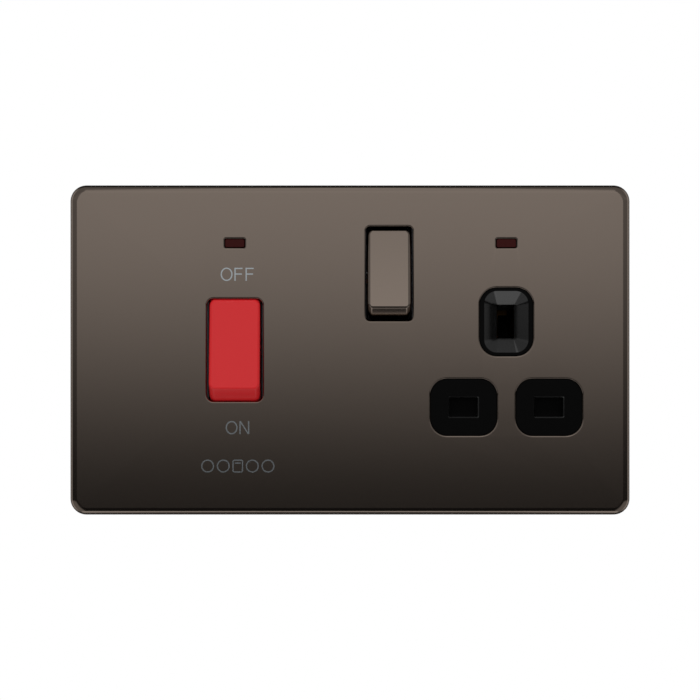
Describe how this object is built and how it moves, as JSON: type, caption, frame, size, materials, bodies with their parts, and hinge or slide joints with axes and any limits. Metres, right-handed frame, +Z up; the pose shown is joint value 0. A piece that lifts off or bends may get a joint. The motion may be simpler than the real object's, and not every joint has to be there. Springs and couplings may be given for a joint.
{
  "type": "cooker control unit",
  "caption": "Screwless metal cooker control unit with a red cooker rocker, a switched outlet with shuttered pin slots and neon indicators.",
  "frame": {"origin": "on the wall plane, half way between the two fixing screws", "axes": "+X to the right seen from the front, +Y into the wall, +Z up"},
  "size_m": [0.146, 0.0335, 0.086],
  "materials": {
    "black_nickel": "polished black nickel plate",
    "black_moulding": "gloss black moulding",
    "grey_moulding": "matt dark moulding",
    "rear_moulding": "matt dark grey moulding",
    "red_moulding": "satin red moulding",
    "white_nylon": "natural white moulding",
    "zinc_steel": "bright zinc plate",
    "spring_steel": "drawn wire",
    "copper": "pressed copper",
    "bronze": "pressed bronze",
    "brass": "machined brass",
    "silver": "silver contact",
    "red_lens": "dark red clear moulding",
    "lamp_glass": "clear glass",
    "resistor_lacquer": "baked lacquer"
  },
  "bodies": {
    "unit": {"front_plate": "black_nickel", "mounting_frame": "grey_moulding", "front_moulding": "black_moulding", "socket_face": "black_moulding", "cooker_switch_base": "rear_moulding", "socket_base": "rear_moulding", "base_screws": "zinc_steel", "mounting_screws": "zinc_steel", "plate_earth_clips": "bronze", "supply_live_terminal": "brass", "load_live_terminal": "brass", "supply_neutral_terminal": "brass", "load_neutral_terminal": "brass", "fixed_contacts": "silver", "terminal_screws": "zinc_steel", "earth_terminal_block": "brass", "earth_terminal_screws": "zinc_steel", "live_link_bar": "copper", "neutral_link_bar": "copper", "socket_fulcrum": "copper", "switched_live_strip": "copper", "live_receptacle": "brass", "neutral_receptacle": "brass", "earth_receptacle": "brass", "earth_strap": "copper", "shutter_spring": "spring_steel", "cooker_neon_lens": "red_lens", "socket_neon_lens": "red_lens", "cooker_neon_lamp": "lamp_glass", "socket_neon_lamp": "lamp_glass", "cooker_neon_resistor": "resistor_lacquer", "socket_neon_resistor": "resistor_lacquer"},
    "cooker_rocker_body": {"cooker_rocker": "red_moulding", "cooker_live_plunger": "white_nylon", "cooker_neutral_plunger": "white_nylon", "cooker_live_spring": "spring_steel", "cooker_neutral_spring": "spring_steel"},
    "cooker_live_arm_body": {"cooker_live_arm": "copper", "cooker_live_arm_contact": "silver"},
    "cooker_neutral_arm_body": {"cooker_neutral_arm": "copper", "cooker_neutral_arm_contact": "silver"},
    "socket_rocker_body": {"socket_rocker_cap": "black_nickel", "socket_rocker_carrier": "black_moulding", "socket_plunger": "white_nylon", "socket_plunger_spring": "spring_steel"},
    "socket_arm_body": {"socket_arm": "copper", "socket_arm_contact": "silver"},
    "shutter_body": {"shutter": "black_moulding"}
  },
  "joints": [
    {"name": "cooker_switch_rock", "type": "hinge", "parent": "unit", "child": "cooker_rocker_body", "pos_m": [-0.03, 0.0024, 0], "axis": [1, 0, 0], "range_deg": [0, 15]},
    {"name": "cooker_live_arm_rock", "type": "hinge", "parent": "unit", "child": "cooker_live_arm_body", "pos_m": [-0.0334, 0.013, 0], "axis": [1, 0, 0], "range_deg": [-15, 0]},
    {"name": "cooker_neutral_arm_rock", "type": "hinge", "parent": "unit", "child": "cooker_neutral_arm_body", "pos_m": [-0.0266, 0.013, 0], "axis": [1, 0, 0], "range_deg": [-15, 0]},
    {"name": "socket_switch_rock", "type": "hinge", "parent": "unit", "child": "socket_rocker_body", "pos_m": [0.0102, 0.0006, 0.0199], "axis": [1, 0, 0], "range_deg": [0, 15]},
    {"name": "socket_arm_rock", "type": "hinge", "parent": "unit", "child": "socket_arm_body", "pos_m": [0.0102, 0.0112, 0.0199], "axis": [1, 0, 0], "range_deg": [-15, 0]},
    {"name": "shutter_slide", "type": "slide", "parent": "unit", "child": "shutter_body", "axis": [0, 0, -1], "range_m": [0, 0.0062], "stiffness_N_per_m": 60, "springref_m": -0.005, "deforming": ["shutter_spring"]}
  ],
  "couplings": [
    {"joint": "cooker_live_arm_rock", "follows": "cooker_switch_rock", "ratio": -1},
    {"joint": "cooker_neutral_arm_rock", "follows": "cooker_switch_rock", "ratio": -1},
    {"joint": "socket_arm_rock", "follows": "socket_switch_rock", "ratio": -1}
  ]
}
